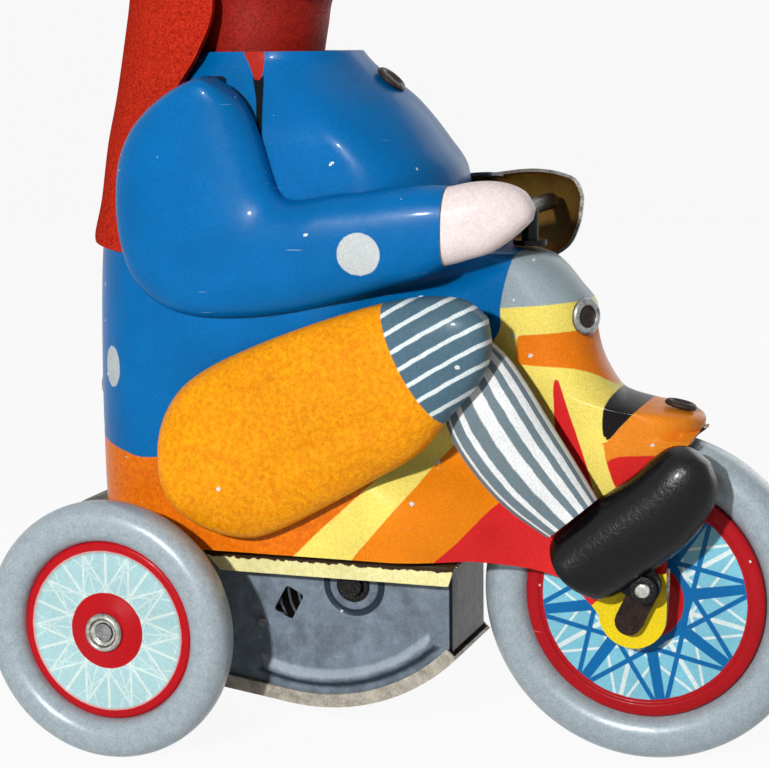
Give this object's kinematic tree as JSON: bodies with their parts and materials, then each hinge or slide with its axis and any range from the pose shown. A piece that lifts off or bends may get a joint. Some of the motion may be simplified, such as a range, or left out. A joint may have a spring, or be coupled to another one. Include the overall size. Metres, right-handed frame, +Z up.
{
  "type": "wind-up tricycle toy",
  "caption": "Lithographed tin clockwork tricycle with a seated rider whose jointed legs pedal as the front wheel turns.",
  "frame": {"origin": "on the floor, midway between the back of the rear wheels and the front of the front wheel, on the middle plane", "axes": "+X forward, towards the front wheel; +Y to the rider's left, where the key is; +Z up"},
  "size_m": [0.1248, 0.056, 0.153],
  "materials": {
    "coat_print": "glossy lithographed tin, blue coat over orange seat and flame fairing",
    "trouser_print": "glossy lithographed tin, orange with fine grain",
    "stocking_print": "glossy lithographed tin, grey and white stripes",
    "shoe_enamel": "glossy black lithographed tin",
    "face_print": "satin lithographed tin",
    "red_tin": "glossy lithographed tin",
    "felt": "short-napped felt",
    "yellow_tin": "dull lacquered tin, dirty along the folds",
    "motor_steel": "blued steel, satin, with scuffs",
    "cream_tin": "satin cream lacquer",
    "black_enamel": "glossy black enamel, chipped",
    "bare_steel": "turned or stamped steel, dulled",
    "spring_steel": "blued spring steel",
    "nickel": "nickel plate, slightly tarnished",
    "brass": "stamped brass",
    "tyre_grey": "satin grey lithographed tin tyre",
    "wheel_print": "glossy lithographed tin disc with red rings and fine spokes",
    "rusty_steel": "rusted dark brown steel"
  },
  "bodies": {
    "chassis": {"body_shell_right": "coat_print", "body_shell_left": "coat_print", "seam_tabs": "bare_steel", "base_plate": "yellow_tin", "fork_bushes": "nickel", "hip_pins": "bare_steel", "arm_right": "coat_print", "arm_left": "coat_print", "handlebar": "black_enamel", "head_front": "face_print", "head_back": "red_tin", "hood": "felt", "hood_tail": "felt", "motor_plate_right": "motor_steel", "motor_plate_left": "motor_steel", "motor_pillars": "bare_steel", "motor_bottom_cover": "cream_tin", "motor_front_cover": "black_enamel", "arbor_bushes": "motor_steel", "mainspring": "spring_steel"},
    "rear_wheels": {"rear_axle": "bare_steel", "axle_gear": "brass", "rear_tyre_right": "tyre_grey", "rear_tyre_left": "tyre_grey", "rear_disc_right": "wheel_print", "rear_disc_left": "wheel_print", "rear_eyelets": "nickel"},
    "front_wheel": {"front_axle": "bare_steel", "front_tyre": "tyre_grey", "front_disc_right": "wheel_print", "front_disc_left": "wheel_print", "crank_right": "rusty_steel", "crank_left": "rusty_steel"},
    "great_wheel": {"great_gear": "brass", "click": "brass"},
    "second_wheel": {"second_arbor": "bare_steel", "second_gear": "brass"},
    "escape_wheel": {"escape_arbor": "bare_steel", "star_wheel": "brass"},
    "pallet_arm": {"pallet": "brass"},
    "key": {"winding_arbor": "bare_steel", "winding_key": "nickel", "ratchet_wheel": "bare_steel"},
    "upper_leg_right": {"thigh_right": "trouser_print", "knee_pin_right": "nickel"},
    "upper_leg_left": {"thigh_left": "trouser_print", "knee_pin_left": "nickel"},
    "lower_leg_right": {"shin_right": "stocking_print", "shoe_right": "shoe_enamel", "pedal_pin_right": "nickel"},
    "lower_leg_left": {"shin_left": "stocking_print", "shoe_left": "shoe_enamel", "pedal_pin_left": "nickel"}
  },
  "joints": [
    {"name": "rear_axle_spin", "type": "hinge", "parent": "chassis", "child": "rear_wheels", "pos_m": [-0.04215, 0, 0.0202], "axis": [0, 1, 0], "continuous": true},
    {"name": "front_wheel_spin", "type": "hinge", "parent": "chassis", "child": "front_wheel", "pos_m": [0.03685, 0, 0.0255], "axis": [0, 1, 0], "continuous": true},
    {"name": "great_gear_spin", "type": "hinge", "parent": "chassis", "child": "great_wheel", "pos_m": [-0.0078, 0, 0.0258], "axis": [0, 1, 0], "continuous": true},
    {"name": "second_gear_spin", "type": "hinge", "parent": "chassis", "child": "second_wheel", "pos_m": [-0.02301, 0, 0.01867], "axis": [0, 1, 0], "continuous": true},
    {"name": "star_wheel_spin", "type": "hinge", "parent": "chassis", "child": "escape_wheel", "pos_m": [-0.0122, 0, 0.0111], "axis": [0, 1, 0], "continuous": true},
    {"name": "pallet_rock", "type": "hinge", "parent": "chassis", "child": "pallet_arm", "pos_m": [-0.0052, 0, 0.0109], "axis": [0, 1, 0], "range_deg": [-8, 8]},
    {"name": "key_wind", "type": "hinge", "parent": "chassis", "child": "key", "pos_m": [-0.0078, 0, 0.0258], "axis": [0, 1, 0], "continuous": true},
    {"name": "hip_right", "type": "hinge", "parent": "chassis", "child": "upper_leg_right", "pos_m": [-0.0222, 0, 0.047], "axis": [0, -1, 0], "range_deg": [-10.4, 3.8]},
    {"name": "hip_left", "type": "hinge", "parent": "chassis", "child": "upper_leg_left", "pos_m": [-0.0222, 0, 0.047], "axis": [0, -1, 0], "range_deg": [-3.5, 10.7]},
    {"name": "knee_right", "type": "hinge", "parent": "upper_leg_right", "child": "lower_leg_right", "pos_m": [0.00893, 0, 0.06468], "axis": [0, -1, 0], "range_deg": [-2.8, 7.4]},
    {"name": "knee_left", "type": "hinge", "parent": "upper_leg_left", "child": "lower_leg_left", "pos_m": [0.01084, 0, 0.06078], "axis": [0, -1, 0], "range_deg": [-7.4, 2.5]}
  ],
  "couplings": [
    {"joint": "second_gear_spin", "follows": "rear_axle_spin", "ratio": -0.88235},
    {"joint": "great_gear_spin", "follows": "rear_axle_spin", "ratio": 0.24064},
    {"joint": "star_wheel_spin", "follows": "rear_axle_spin", "ratio": 3},
    {"joint": "knee_right", "follows": "hip_right", "ratio": -0.7},
    {"joint": "knee_left", "follows": "hip_left", "ratio": -0.68}
  ]
}
